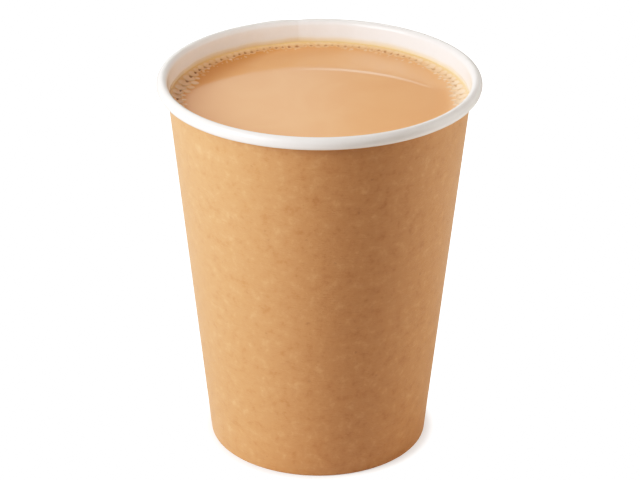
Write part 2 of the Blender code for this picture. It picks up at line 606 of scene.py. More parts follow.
@dataclass(frozen=True)
class TeaFinish:
    """Milky tea with a wet gloss, with a painted shade along its edge that also stands in for the
    reflection of the shaded wall, amber where it thins out against the wall, pale in its froth, and
    with painted shade in the pits."""

    tone: Colour = (0.85, 0.40, 0.178)
    cloudy: Colour = (0.87, 0.42, 0.192)
    # Colour of the painted shade along the edge.
    steeped: Colour = (0.70, 0.308, 0.108)
    edge: Colour = (0.90, 0.56, 0.28)
    froth: Colour = (0.93, 0.64, 0.42)
    # Colour of the painted shade in the pits.
    hollow: Colour = (0.2, 0.052, 0.001)
    drift_scale: float = 45
    drift_warp: float = 1.2
    drift_span: Span = (0.3, 0.7)
    roughness: float = 0.06
    hollow_rougher: float = 0.5

    def material(self) -> bpy.types.Material:
        """Builds the finish on Object coordinates and the surface's marks.

        Returns:
            The material.
        """
        material, sheet, shader = new_material("milk_tea")
        drift = sheet.noise(sheet.place(), self.drift_scale, detail=3, distortion=self.drift_warp)
        colour = sheet.mix(sheet.range(drift, *self.drift_span), self.tone, self.cloudy)
        # The first of these tones is a painted shade along the edge that also stands in for the reflection
        # of the shaded wall; the amber edge and the froth are the tea's own tones.
        tones = {Mark.STEEPED: self.steeped, Mark.RICHNESS: self.edge, Mark.FROTH: self.froth}
        for mark, tone in tones.items():
            colour = sheet.mix(sheet.mark(mark), colour, tone)
        # Painted shade in the pits, which are also rougher.
        hollow = sheet.mark(Mark.HOLLOW)
        colour = sheet.mix(hollow, colour, self.hollow)
        rough = sheet.maths("MULTIPLY_ADD", hollow, self.hollow_rougher, self.roughness)
        sheet.feed(shader, Base_Color=colour, Roughness=rough, IOR=TEA_IOR)
        return material


@dataclass(frozen=True)
class FilmFinish:
    """The clear skin of a bubble, which turns pale and dense towards its foot as a painted reflection of
    its grazing sides.
    """

    tone: Colour = (0.90, 0.70, 0.46)
    roughness: float = 0.16

    def material(self) -> bpy.types.Material:
        """Builds the finish on the bubbles' marks.

        Returns:
            The material.
        """
        material, sheet, shader = new_material("bubble_film")
        dense = sheet.mark(Mark.DENSITY)
        sheet.feed(shader, Base_Color=self.tone, Alpha=dense, Roughness=self.roughness, IOR=TEA_IOR)
        return material


# ---------------------------------------------------------------------------------------------------
# The cup


@dataclass(frozen=True)
class CupForm:
    """Sizes that the cup's pieces and the tea share, and the cone of the wall. The board's edges are
    sharp above the angle crease, in degrees."""

    height: float = 110 * MM
    rim_radius: float = 45 * MM
    base_radius: float = 31.2 * MM
    board: float = 0.4 * MM
    clearance: float = 0.3 * MM
    roll_width: float = 3.12 * MM
    roll_height: float = 3.45 * MM
    recess: float = 9 * MM
    seam: float = math.radians(99)
    oval: float = 0.11 * MM
    oval_turn: float = 1.3
    trefoil_share: float = 0.4
    trefoil_turn: float = 0.8
    crease: float = 50

    @property
    def roll_across(self) -> float:
        """Half the roll's width, to the middle of the board."""
        return (self.roll_width - self.board) / 2

    @property
    def roll_centre(self) -> Span:
        """Radius and height of the middle of the roll."""
        return self.rim_radius - self.roll_width / 2, self.height - self.roll_height / 2

    @property
    def lean(self) -> float:
        """The wall's lean, by which it runs straight from the foot to touch the roll's inner side."""
        out, up = self.roll_centre[0] - self.base_radius, self.roll_centre[1]
        return math.acos((self.roll_across - self.board / 2) / math.hypot(out, up)) - math.atan2(up, out)

    def beside_wall(self, height: float, inwards: float) -> Span:
        """The point (radius, height) this far in from the wall's outer face, square to it."""
        outer = self.base_radius + height * math.tan(self.lean)
        return outer - inwards / math.cos(self.lean), height

    def out_of_round(self, azimuth: Array, height: Array) -> Array:
        """How far the wall bulges: a slight oval and a slighter trefoil that grow with height.

        Args:
            azimuth: Angle about Z.
            height: Height above the table.

        Returns:
            What to add to the radius there.
        """
        trefoil = self.trefoil_share * np.cos(3 * azimuth + self.trefoil_turn)
        wave = np.cos(2 * azimuth - self.oval_turn) + trefoil
        return self.oval * wave * np.asarray(height) / self.height

    def inner_radius(self, azimuth: Array, height: Array) -> Array:
        """Radius of the wall's inner face."""
        outer = self.base_radius + np.asarray(height) * math.tan(self.lean)
        return outer - self.board / math.cos(self.lean) + self.out_of_round(azimuth, height)


def stand_for(solid: Solid) -> None:
    """Hides the plain solid that this piece replaces."""
    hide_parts(solid.value)


@dataclass
class BoardWall:
    """The side wall: a blank wrapped round with its ends lapped, rolled at the rim, folded at the foot."""

    form: CupForm
    columns: int = 480
    skirt_rows: int = 10
    fold_rows: int = 6
    wall_rows: int = 26
    roll_rows: int = 40
    lap: float = math.radians(11.5)
    lap_ramp: float = math.radians(5)
    lap_pressed: float = 0.72
    glue: float = 0.02 * MM
    near_cut: tuple[float, ...] = (0.03, 0.07, 0.12, 0.2, 0.35, 0.55, 0.8, 1.1)
    cut_round: float = 0.13 * MM
    cut_inset: Span = (0.4, -1.0)
    cut_taper: float = 2.2 * MM
    cut_thinned: float = 0.86
    roll_turn: float = math.radians(345)
    roll_tightens: float = math.radians(250)
    roll_end_share: float = 0.6
    fold_radius: float = 0.45 * MM
    skirt_height: float = 7.2 * MM
    skive_from: float = 9 * MM
    skive_full: float = 2 * MM
    skived: float = 0.5
    knurls: int = 124
    knurl_depth: float = 0.07 * MM
    knurl_span: Span = (1.6 * MM, 6.6 * MM)
    knurl_fade: float = 1 * MM

    def path(self) -> Array:
        """The middle of the board, from the skirt's top edge down, round the fold, up the wall and
        round the roll.

        The skirt stands in from the wall's outer face by two boards, two gaps and half a board. The
        roll is an ellipse whose half-width shrinks from roll_across to roll_end_share of it once it
        has turned by roll_tightens.

        Returns:
            The path as rows of radius and height.
        """
        form, board, lean = self.form, self.form.board, self.form.lean
        skirt_in = 5 * board / 2 + 2 * form.clearance
        fold = board / 2 + self.fold_radius
        top, low = form.beside_wall(self.skirt_height, skirt_in), form.beside_wall(fold, skirt_in)
        inner = form.beside_wall(fold, skirt_in - self.fold_radius)
        outer = form.beside_wall(fold, board / 2 + self.fold_radius)
        turned = np.linspace(0, self.roll_turn, self.roll_rows)
        shrink = smooth_step(self.roll_tightens, self.roll_turn, turned) * (1 - self.roll_end_share)
        across = form.roll_across * (1 - shrink)
        angle = math.pi - lean - turned
        taller = (form.roll_height - board) / (form.roll_width - board)
        out, up = form.roll_centre
        roll = np.stack([out + across * np.cos(angle), up + across * taller * np.sin(angle)], axis=1)
        skirt = np.linspace(top, low, self.skirt_rows)[:-1]
        turn = arc(inner, self.fold_radius, -math.pi - lean, -math.pi / 2, self.fold_rows)
        foot = arc(outer, self.fold_radius, -math.pi / 2, -lean, self.fold_rows)
        wall = np.linspace(foot[-1], roll[0], self.wall_rows)[1:-1]
        return np.concatenate([skirt, turn, foot, wall, roll])

    def azimuths(self) -> Array:
        """The columns' angles, from the inner end of the blank on past a full turn to its outer end.

        Returns:
            Even angles, and more of them close to both ends, at the distances near_cut in millimetres.
        """
        start, end = self.form.seam, self.form.seam + TURN + self.lap
        near = np.array(self.near_cut) * MM / self.form.base_radius
        return np.sort(np.concatenate([np.linspace(start, end, self.columns), start + near, end - near]))

    def depths(self, share: float, azimuth: Array, foot: Array) -> Array:
        """How deep one face of a ply lies at each column and row, from the middle of the board and
        towards its brown side.

        Away from the lap that is (share - 1/2) * board. In the lap both layers are pressed thinner and
        lie against each other, the inner end inside and the outer end outside, and the inner end also
        thins out towards its cut. Both cuts are rounded: a quarter circle of radius cut_round, of
        which cut_inset is the part on the white face and on the brown.

        Args:
            share: The face's place in the board, 0 on the white face and 1 on the brown.
            azimuth: The columns' angles.
            foot: For each row, 1 in the foot, where the lapped board is thinned by skived, else 0.

        Returns:
            The depths, one row a column.
        """
        start, board = self.form.seam, self.form.board
        from_inner, from_outer = azimuth - start, start + TURN + self.lap - azimuth
        inner = smooth_step(self.lap + self.lap_ramp, self.lap, from_inner)
        outer = smooth_step(self.lap + self.lap_ramp, self.lap, from_outer)
        lapped = (inner + outer)[:, None]
        taper = 1 - self.cut_thinned * np.exp(-((from_inner * self.form.base_radius / self.cut_taper) ** 2))
        thick = board * self.lap_pressed * taper[:, None] * (1 - self.skived * foot)
        inside = (azimuth < start + math.pi)[:, None]
        laid = np.where(inside, -self.glue / 2 - (1 - share) * thick, self.glue / 2 + share * thick)
        to_cut = np.minimum(from_inner, from_outer) * self.form.base_radius / self.cut_round
        rounded = (1 - np.sqrt(1 - (1 - np.clip(to_cut, 0, 1)) ** 2)) * taper
        white_part, brown_part = self.cut_inset
        inset = {0.0: white_part, 1.0: brown_part}.get(share, 0.0) * self.cut_round * rounded[:, None]
        return (share - 0.5) * board * (1 - lapped) + laid * lapped + inset

    def ply(self, layer: Layer) -> Surface:
        """One ply of the board as a closed shell.

        Each face lies at its depth in the board, square to the path, on its right for the kraft side.
        The skirt and the fold's first third carry knurls: a cosine round the cup.

        Args:
            layer: Which ply.

        Returns:
            The shell, with its outline carried round and capped at the two ends of the blank.
        """
        path, azimuth = self.path(), self.azimuths()
        height = path[:, 1]
        skirt = np.arange(len(path)) < self.skirt_rows + self.fold_rows // 3
        foot = np.where(skirt, 1, smooth_step(self.skive_from, self.skive_full, height))
        (low, high), fade = self.knurl_span, self.knurl_fade
        band = skirt * smooth_step(low, low + fade, height) * smooth_step(high, high - fade, height)
        knurl = self.knurl_depth * band * np.cos(self.knurls * azimuth)[:, None]
        sides = []
        for share in layer.value:
            depth = self.depths(share, azimuth, foot) + knurl
            flat = path[None, :, :] + depth[:, :, None] * right_of(path)[None, :, :]
            bulge = self.form.out_of_round(azimuth[:, None], flat[..., 1])
            sides.append(turned_points(flat[..., 0] + bulge, flat[..., 1], azimuth[:, None]))
        white, brown = sides
        points = np.concatenate([brown, white[:, ::-1]], axis=1)
        columns, around = points.shape[:2]
        body = grid_quads(columns, around)[:, ::-1]
        step = np.arange(len(path) - 1)
        cap = np.stack([step, step + 1, around - 2 - step, around - 1 - step], axis=1)
        last = (columns - 1) * around
        return Surface(points, [body, cap[:, ::-1], cap + last], flat_map=self.flat_map(path, azimuth))

    def flat_map(self, path: Array, azimuth: Array) -> Array:
        """Where each point lies on the flat blank: a cone unrolls to a sector, so a point at slant
        distance s from the cone's tip and azimuth a lies at s * (sin(a sin lean), cos(a sin lean)).

        Args:
            path: The middle of the board.
            azimuth: The columns' angles.

        Returns:
            Two coordinates in metres for each point of a ply.
        """
        steps = np.linalg.norm(np.diff(path, axis=0), axis=1)
        along = np.concatenate([[0], np.cumsum(steps)])
        tip = self.form.base_radius / math.sin(self.form.lean)
        slant = np.concatenate([along, along[::-1]])[None, :] + tip
        swing = ((azimuth - azimuth.mean()) * math.sin(self.form.lean))[:, None]
        return np.stack([slant * np.sin(swing), slant * np.cos(swing)], axis=-1)

    def build(self, kraft: bpy.types.Material, lining: bpy.types.Material) -> list[bpy.types.Object]:
        """Makes both plies and hides the plain wall.

        Args:
            kraft: Material of the outer ply.
            lining: Material of the inner ply.

        Returns:
            The two pieces.
        """
        outside = self.ply(Layer.KRAFT).to_object("kraft_ply", kraft, self.form.crease)
        inside = self.ply(Layer.LINING).to_object("lining_ply", lining, self.form.crease)
        stand_for(Solid.WALL)
        stand_for(Solid.WALL)
        return [outside, inside]


@dataclass
class BaseDisc:
    """The base: a pressed disc whose flange stands in the folded foot."""

    form: CupForm
    columns: int = 240
    middle_rows: int = 9
    outer_rows: int = 26
    bend_rows: int = 8
    first_radius: float = 0.4 * MM
    bend_radius: float = 0.8 * MM
    flange_bottom: float = 1.1 * MM
    press_radius: float = 25.5 * MM
    press_width: float = 1.6 * MM
    press_depth: float = 0.35 * MM
    press_rows_from: Span = (2.5, 2.2)

    def path(self) -> Array:
        """The middle of the board from the axis out, round the bend and down the flange.

        A ring is pressed into the disc: a dip of press_depth times a Gaussian about press_radius. The
        rows are wide up to the ring and narrow from there on, and press_rows_from times its width is
        how far before it the wide ones end and the narrow ones start.

        Returns:
            The path as rows of radius and height.
        """
        form, board = self.form, self.form.board
        flange_in = 3 * board / 2 + form.clearance
        top = form.recess - board / 2
        bend = form.beside_wall(top - self.bend_radius, flange_in + self.bend_radius)
        end, start = (self.press_radius - times * self.press_width for times in self.press_rows_from)
        wide = np.linspace(self.first_radius, end, self.middle_rows)
        radius = np.concatenate([wide, np.linspace(start, bend[0], self.outer_rows)[:-1]])
        dip = np.exp(-(((radius - self.press_radius) / self.press_width) ** 2))
        disc = np.stack([radius, top - self.press_depth * dip], axis=1)
        bent = arc(bend, self.bend_radius, math.pi / 2, -form.lean, self.bend_rows)
        flange = np.linspace(bent[-1], form.beside_wall(self.flange_bottom, flange_in), self.bend_rows)[1:]
        return np.concatenate([disc, bent, flange])

    def surface(self) -> Surface:
        """The disc as a closed shell: its outline, half a board to each side of the path, turned about
        Z, and a pole above and below.

        Returns:
            The shell.
        """
        path = self.path()
        right = right_of(path) * self.form.board / 2
        outline = np.concatenate([path + right, (path - right)[::-1]])
        azimuth = np.arange(self.columns) * TURN / self.columns
        rings = turned_points(outline[:, :1], outline[:, 1:], azimuth[None, :])
        return Surface(*turned_shell(rings, outline[0, 1], outline[-1, 1]))

    def build(self, board: bpy.types.Material) -> bpy.types.Object:
        """Makes the disc and hides the plain one.

        Args:
            board: Its material.

        Returns:
            The piece.
        """
        piece = self.surface().to_object("base_disc", board, self.form.crease)
        stand_for(Solid.BASE)
        return piece


# ---------------------------------------------------------------------------------------------------
# The tea


@dataclass(frozen=True)
class Bubble:
    """One bubble: where its middle is, the radius of its foot, and how pale it looks."""

    across: float
    azimuth: float
    radius: float
    paleness: float

    @property
    def place(self) -> Span:
        """Its middle in X and Y."""
        return self.across * math.cos(self.azimuth), self.across * math.sin(self.azimuth)


@dataclass(frozen=True)
class Pit:
    """A gap between two bubbles, with painted shade in it: where its middle is, half its size along the
    ring and across it, how deep it goes and how dark its painted shade is."""

    across: float
    azimuth: float
    half_along: float
    half_across: float
    depth: float
    darkness: float


@dataclass
class BubbleRing:
    """The bubbles that gather at the tea's edge: a row against the wall with pits of painted shade
    between its bubbles, a second row behind it at the sides, and froth in the gaps.

    Much here changes round the cup with an even power of the azimuth's cosine, which is 0 at the front
    and the back and 1 at both sides. A pair is the least and the most of what is drawn or changes, but
    shadow_span has the cosines between which the pits' painted shadow grows. Sizes that aren't in
    metres are shares of a bubble's radius."""

    edge_radius: float
    seed: int = 12
    at_back: float = 0.95 * MM
    at_sides: float = 1.6 * MM
    uneven: float = 0.22
    gap: float = 0.14 * MM
    edge_gap: float = 0.12 * MM
    paleness: float = 0.05
    paleness_drawn: float = 0.3
    paleness_aside: float = 0.6
    pit_depth: float = 0.65 * MM
    pit_inwards: Span = (-0.3, 0.2)
    pit_along: Span = (0.32, 0.6)
    pit_across: Span = (0.32, 0.62)
    pit_narrower: float = 0.3
    pit_shallower: float = 0.75
    # The pits' painted shade, weakest at the right and strongest at the left, where it stands in for the
    # rim's shadow.
    pit_shadow: Span = (0.6, 1.0)
    shadow_span: Span = (0.1, -0.6)
    pit_paler: float = 0.75
    pit_paler_power: float = 1.6
    second_size: Span = (0.3, 0.68)
    second_chance: float = 1.15
    second_nestled: float = 0.8
    second_paleness: Span = (0.4, 0.8)
    froth_seed: int = 5
    froth_tries: int = 2600
    froth_size: Span = (0.2 * MM, 0.62 * MM)
    froth_reach: float = 3.4 * MM
    froth_reach_power: float = 2.2
    froth_paleness: Span = (0.2, 0.5)
    froth_kept: Span = (0.14, 1.0)

    def first_row(self) -> list[Bubble]:
        """The row against the wall, drawn one after another until it closes.

        Returns:
            The bubbles, anticlockwise from the cup's right as seen from above.
        """
        draw = random.Random(self.seed)
        across = self.edge_radius - self.edge_gap - (self.at_back + self.at_sides) / 2
        azimuth, row = 0.0, []
        while azimuth < TURN:
            usual = between((self.at_back, self.at_sides), math.cos(azimuth) ** 4)
            radius = usual * (1 + self.uneven * draw.uniform(-1, 1))
            half = (radius + self.gap / 2) / across
            row.append((azimuth + half, radius))
            azimuth += 2 * half
        closing = TURN / azimuth
        shades = random.Random(self.seed + 1)
        bubbles = []
        for azimuth, radius in ((azimuth * closing, radius * closing) for azimuth, radius in row):
            paleness = self.paleness + self.paleness_drawn * shades.random()
            paleness += self.paleness_aside * math.cos(azimuth) ** 2
            bubbles.append(Bubble(self.edge_radius - self.edge_gap - radius, azimuth, radius, paleness))
        return bubbles

    def pits(self, row: list[Bubble]) -> list[Pit]:
        """The gaps of the first row, with painted shade in them. The painted shade is darkest at the cup's
        left, where it stands in for the rim's shadow, and the pits are narrower and shallower at both sides.

        Args:
            row: The row against the wall.

        Returns:
            One pit for each pair of neighbours.
        """
        draw = random.Random(self.seed + 3)
        found = []
        for one, two in zip(row, row[1:] + row[:1]):
            azimuth = one.azimuth + (two.azimuth - one.azimuth) % TURN / 2
            radius = (one.radius + two.radius) / 2
            # Painted shadow: the pits darken towards the cup's left.
            at_left = float(smooth_step(*self.shadow_span, np.array(math.cos(azimuth))))
            shadow = between(self.pit_shadow, at_left)
            aside = math.cos(azimuth) ** 4
            found.append(
                Pit(
                    min(one.across, two.across) + draw.uniform(*self.pit_inwards) * radius,
                    azimuth,
                    radius * draw.uniform(*self.pit_along),
                    radius * draw.uniform(*self.pit_across) * (1 - self.pit_narrower * aside),
                    self.pit_depth * (1 - self.pit_shallower * aside),
                    shadow * (1 - self.pit_paler * draw.random() ** self.pit_paler_power),
                )
            )
        return found

    def second_row(self, first: list[Bubble]) -> list[Bubble]:
        """Bubbles that nestle inside the first row at the cup's left and right.

        Args:
            first: The row against the wall.

        Returns:
            The second row.
        """
        draw = random.Random(self.seed + 2)
        row = []
        for one, two in zip(first, first[1:] + first[:1]):
            turn = (two.azimuth - one.azimuth) % TURN
            middle = one.azimuth + turn / 2
            chance, size = draw.random(), draw.uniform(*self.second_size)
            if chance > self.second_chance * math.cos(middle) ** 4:
                continue
            radius = size * (one.radius + two.radius) / 2
            beyond = self.second_nestled * (radius + (one.radius + two.radius) / 2)
            paleness = draw.uniform(*self.second_paleness)
            row.append(Bubble(min(one.across, two.across) - beyond, middle, radius, paleness))
        return row

    def froth(self, placed: list[Bubble]) -> list[Bubble]:
        """Tiny bubbles drawn at random along the edge, kept where they touch no other, and more of them
        at the sides.

        Args:
            placed: The bubbles that are there already.

        Returns:
            The tiny ones.
        """
        draw = random.Random(self.froth_seed)
        x, y, radii = ([*values] for values in zip(*((*b.place, b.radius) for b in placed)))
        found = []
        for _ in range(self.froth_tries):
            azimuth = draw.uniform(0, TURN)
            size = between(self.froth_size, draw.random() ** 2)
            inwards = size + self.froth_reach * draw.random() ** self.froth_reach_power
            paleness = draw.uniform(*self.froth_paleness)
            bubble = Bubble(self.edge_radius - inwards, azimuth, size, paleness)
            keep = draw.random() < between(self.froth_kept, math.cos(azimuth) ** 2)
            away = np.hypot(np.array(x) - bubble.place[0], np.array(y) - bubble.place[1]) - np.array(radii)
            if keep and away.min() > size:
                found.append(bubble)
                x.append(bubble.place[0])
                y.append(bubble.place[1])
                radii.append(size)
        return found


@dataclass(frozen=True)
class FilmForm:
    """A bubble's film: the height of its dome and the depth of its bowl over its radius, its rows'
    distances over its radius, and how dense it is at its top and at its foot, where the density is a
    painted reflection of its grazing sides."""

    dome: float = 0.36
    bowl: float = 0.1
    sides: int = 14
    rows: tuple[float, ...] = (1.0, 0.93, 0.75, 0.45)
    clear: float = 0.03
    dense: float = 0.22
    crease: float = 60


@dataclass
class Tea:
    """The tea: one closed body with its meniscus and the hollows of its bubbles, and the bubbles'
    films. The body has four marks. Richness is the amber edge, the edge shade a painted shade inside
    it that also stands in for the reflection of the shaded wall, the pit shade a painted shade in the
    pits, and froth the paleness of the bubbles.

    A field whose name ends in span has where a smooth step is 0 and where it is 1: in metres from the
    wall, in sines or cosines of the azimuth, or in shares of a bubble's or a pit's size or of the
    width of the painted edge shade, which has one value at the front and the back and one at the sides."""

    form: CupForm
    columns: int = 1320
    level: float = 102.5 * MM
    rise: float = 1.2 * MM
    reach: float = 2.4 * MM
    into_wall: float = 0.07 * MM
    ring_width: float = 6.5 * MM
    ring_rows: int = 38
    middle_rows: int = 16
    middle_power: float = 0.8
    side_rows: int = 6
    floor_radius: float = 3 * MM
    crease: float = 70
    hollow_depth: float = 0.1
    collar: float = 0.04
    collar_width: float = 0.22
    bubble_span: Span = (1.2, 0.85)
    pit_span: Span = (1.2, 0.45)
    pit_froth: float = 0.38
    pit_froth_span: Span = (2.7, 2.0)
    rich_span: Span = (1.5 * MM, 0.2 * MM)
    # From here to the last span before parts: the painted shade along the tea's edge, which also stands in
    # for the reflection of the shaded wall.
    behind_span: Span = (-0.3, 0.6)
    left_span: Span = (0.1, -0.7)
    left_back_span: Span = (-0.5, 0.1)
    edge_shade_always: float = 0.25
    edge_shade_behind: float = 0.35
    edge_shade_left: float = 0.4
    edge_shade_width: Span = (3.8 * MM, 8.5 * MM)
    edge_shade_side_span: Span = (0.2, 0.65)
    edge_shade_more: float = 4 * MM
    edge_shade_more_span: Span = (-0.3, -0.9)
    edge_shade_span: Span = (1.0, 0.2)
    parts: int = 12
    bubbles: list[Bubble] = field(default_factory=list)
    pits: list[Pit] = field(default_factory=list)
    froth: list[Bubble] = field(default_factory=list)

    def __post_init__(self) -> None:
        """Lays out the bubbles once the tea's edge is known."""
        edge = float(self.form.inner_radius(np.array(0.0), self.level + self.rise)) - self.form.clearance
        ring = BubbleRing(edge)
        first = ring.first_row()
        self.bubbles = first + ring.second_row(first)
        self.pits = ring.pits(first)
        self.froth = ring.froth(self.bubbles)

    def height(self, from_wall: Array) -> Array:
        """Height of the still surface: level + rise * exp(-from_wall / reach)."""
        return self.level + self.rise * np.exp(-from_wall / self.reach)

    def marked(self, points: Array) -> tuple[Array, Array, Array]:
        """What the bubbles and the pits do to the surface.

        With q the distance from a bubble's middle over its radius, each bubble presses in a bowl of
        hollow_depth * radius * (1 - q^2) and draws up a collar, a Gaussian about q = 1. Each pit is an
        oval dip with soft edges and painted shade, in a pale ring of froth. The points go through in
        parts, to save memory.

        Args:
            points: Points of the surface.

        Returns:
            What to add to each height, the painted shade of the pits and the paleness of the bubbles.
        """
        every = self.bubbles + self.froth
        middle = np.array([bubble.place for bubble in every])
        radius = np.array([bubble.radius for bubble in every])
        tone = np.array([bubble.paleness for bubble in every])
        pits = np.array([astuple(pit) for pit in self.pits]).T
        pit_across, pit_azimuth, half_along, half_across, depth, darkness = pits
        lift, shade, pale = (np.zeros(len(points)) for _ in range(3))
        for part in np.array_split(np.arange(len(points)), self.parts):
            away = np.linalg.norm(points[part, None, :2] - middle[None], axis=2) / radius
            bowl = np.clip(1 - away**2, 0, None)
            ridge = np.exp(-(((away - 1) / self.collar_width) ** 2))
            bright = (tone * smooth_step(*self.bubble_span, away)).max(axis=1)
            across = np.hypot(points[part, 0], points[part, 1])[:, None]
            swing = np.arctan2(points[part, 1], points[part, 0])[:, None] - pit_azimuth
            along = across * ((swing + math.pi) % TURN - math.pi)
            beside = np.hypot(along / half_along, (across - pit_across) / half_across)
            inside = smooth_step(*self.pit_span, beside)
            ring = self.pit_froth * smooth_step(*self.pit_froth_span, beside).max(axis=1)
            # Painted shade in the pits.
            shade[part] = (darkness * inside).max(axis=1)
            pale[part] = np.maximum(bright, ring)
            lift[part] = (radius * (self.collar * ridge - self.hollow_depth * bowl)).sum(axis=1)
            lift[part] -= (depth * darkness * inside).max(axis=1)
        return lift, shade, pale

    def steeped(self, azimuth: Array, from_wall: Array) -> Array:
        """The painted shade along the tea's edge, which also stands in for the reflection of the shaded
        wall: a step down from the wall inwards, stronger at the back and at the left of it, and wider at
        the sides and most of all at the left.

        Args:
            azimuth: The columns' angles.
            from_wall: How far in each point of the surface lies.

        Returns:
            The mark, from 0 to 1.
        """
        aside, back = np.cos(azimuth), np.sin(azimuth)
        left = smooth_step(*self.left_span, aside)
        strength = self.edge_shade_always + self.edge_shade_behind * smooth_step(*self.behind_span, back)
        strength = strength + self.edge_shade_left * left * smooth_step(*self.left_back_span, back)
        width = between(self.edge_shade_width, smooth_step(*self.edge_shade_side_span, abs(aside)))
        width = width + self.edge_shade_more * smooth_step(*self.edge_shade_more_span, aside)
        return strength * smooth_step(*self.edge_shade_span, from_wall / width)

    def body(self) -> Surface:
        """The tea's closed body.

        The top is a polar grid, fine within ring_width of the wall, at the height of the still surface
        plus what the bubbles do. The side follows the wall and the bottom lies on the base disc.

        Returns:
            The body, marked with richness, the painted edge shade, the painted pit shade and froth.
        """
        azimuth = np.arange(self.columns) * TURN / self.columns
        near = np.linspace(0, self.ring_width, self.ring_rows)
        wall = self.form.inner_radius(azimuth[None, :], self.level + self.rise)
        ring = wall - near[:, None]
        share = np.linspace(1, 0, self.middle_rows + 1)[1:-1, None] ** self.middle_power
        top = np.concatenate([ring, ring[-1:] * share])
        from_wall = wall - top
        points = turned_points(top, self.height(from_wall), azimuth[None, :])
        lift, shade, pale = self.marked(points.reshape(-1, 3))
        points[..., 2] += lift.reshape(top.shape)
        bottom = self.form.recess
        side = [
            turned_points(self.form.inner_radius(azimuth, height) + self.into_wall, height, azimuth)
            for height in np.linspace(bottom, self.level + self.rise, self.side_rows)
        ]
        floor = turned_points(self.floor_radius, bottom, azimuth)
        rings = np.concatenate([floor[None], np.stack(side), points])
        below = (len(rings) - len(top)) * self.columns
        rich = smooth_step(*self.rich_span, from_wall)
        # The second and third marks are painted shade; the first and the last are the tea's own tones.
        marks = {
            mark: np.concatenate([np.full(below, under), values.ravel(), [under, 0]])
            for mark, under, values in (
                (Mark.RICHNESS, 1.0, rich),
                (Mark.STEEPED, 0.0, self.steeped(azimuth, from_wall)),
                (Mark.HOLLOW, 0.0, shade),
                (Mark.FROTH, 0.0, pale),
            )
        }
        return Surface(*turned_shell(rings, bottom, self.level), marks)

    def films(self, bubbles: list[Bubble], look: FilmForm) -> Surface:
        """Every film as a closed lens: a dome over the dip that its bubble presses into the tea and an
        unseen bowl under it.

        With q the distance from the middle over the radius, the dome is a spherical cap of height
        look.dome * radius, and its density, a painted reflection of its grazing sides, rises with q^3 from
        clear to dense. The bowl has none.

        Args:
            bubbles: The bubbles to cover.
            look: The form and the density of their films.

        Returns:
            The films, marked with density.
        """
        sides, share = look.sides, np.array(look.rows)
        cap = (1 + look.dome**2) / (2 * look.dome)
        lift = np.sqrt(cap**2 - share**2) - (cap - look.dome)
        azimuth = np.arange(sides) * TURN / sides
        dome = turned_points(share[:, None], lift[:, None], azimuth[None, :])
        one, groups = turned_shell(dome, -look.bowl, look.dome)
        rise = look.clear + (look.dense - look.clear) * share**3
        density = np.concatenate([np.repeat(rise, sides), [0, look.clear]])
        middle = np.array([[*bubble.place, 0] for bubble in bubbles])
        radius = np.array([bubble.radius for bubble in bubbles])
        points = middle[:, None, :] + one[None] * radius[:, None, None]
        wall = self.form.inner_radius(np.arctan2(points[..., 1], points[..., 0]), self.level)
        points[..., 2] += self.height(wall - np.hypot(points[..., 0], points[..., 1]))
        shift = (np.arange(len(bubbles)) * len(one))[:, None, None]
        faces = [(group[None] + shift).reshape(-1, group.shape[1]) for group in groups]
        return Surface(points.reshape(-1, 3), faces, {Mark.DENSITY: np.tile(density, len(bubbles))})

    def build(self, tea: bpy.types.Material, film: bpy.types.Material) -> list[bpy.types.Object]:
        """Makes the tea and its bubbles and hides the plain solid.

        Args:
            tea: Material of the tea.
            film: Material of the bubbles' films.

        Returns:
            The pieces.
        """
        large, tiny = FilmForm(), FilmForm(sides=8, rows=(1.0, 0.7), clear=0.1, dense=0.35)
        pieces = [
            self.body().to_object("tea_body", tea, self.crease),
            self.films(self.bubbles, large).to_object("bubble_films", film, large.crease),
            self.films(self.froth, tiny).to_object("froth_films", film, tiny.crease),
        ]
        for piece in pieces:
            stand_for(Solid.TEA)
        return pieces


# ---------------------------------------------------------------------------------------------------
# The studio


@dataclass(frozen=True)
class Softbox:
    """A square area light that faces the cup, with its azimuth and elevation in degrees. Only one that
    is mirrored shows in gloss."""

    name: str
    azimuth: float
    elevation: float
    distance: float
    size: float
    power: float
    colour: Colour
    mirrored: bool = False

    def build(self, target: float) -> None:
        """Hangs the light and turns it to the cup's axis.

        Args:
            target: Height of the point that it faces.
        """
        lamp = bpy.data.lights.new(self.name, "AREA")
        lamp.shape, lamp.size, lamp.energy, lamp.color = "SQUARE", self.size, self.power, self.colour
        light = bpy.data.objects.new(self.name, lamp)
        around, above = math.radians(self.azimuth), math.radians(self.elevation)
        flat, up = self.distance * math.cos(above), self.distance * math.sin(above)
        light.location = (flat * math.cos(around), flat * math.sin(around), target + up)
        light.rotation_euler = (math.pi / 2 - above, 0, around + math.pi / 2)
        light.visible_camera = False
        light.visible_glossy = self.mirrored
        bpy.context.scene.collection.objects.link(light)


@dataclass(frozen=True)
class ToneCurve:
    """The film-like response that a linear value x goes through: (1 + c) * x^p / (x^p + c), which
    deepens the shades and rolls the lights off softly towards white. Its points lie at even steps to
    the power of crowding, which brings them together in the shades."""

    power: float = 1.5
    shoulder: float = 0.35
    points: int = 12
    crowding: float = 1.6

    def set_on(self, view: bpy.types.ColorManagedViewSettings) -> None:
        """Puts the response into the view settings, on the curve of all three colours.

        Args:
            view: The scene's view settings.
        """
        view.view_transform = "Standard"
        view.use_curve_mapping = True
        mapping = view.curve_mapping
        mapping.extend = "HORIZONTAL"
        *_, combined = mapping.curves
        for share in np.linspace(0, 1, self.points)[1:-1]:
            value = float(share**self.crowding)
            raised = value**self.power
            combined.points.new(value, (1 + self.shoulder) * raised / (raised + self.shoulder))
        mapping.update()


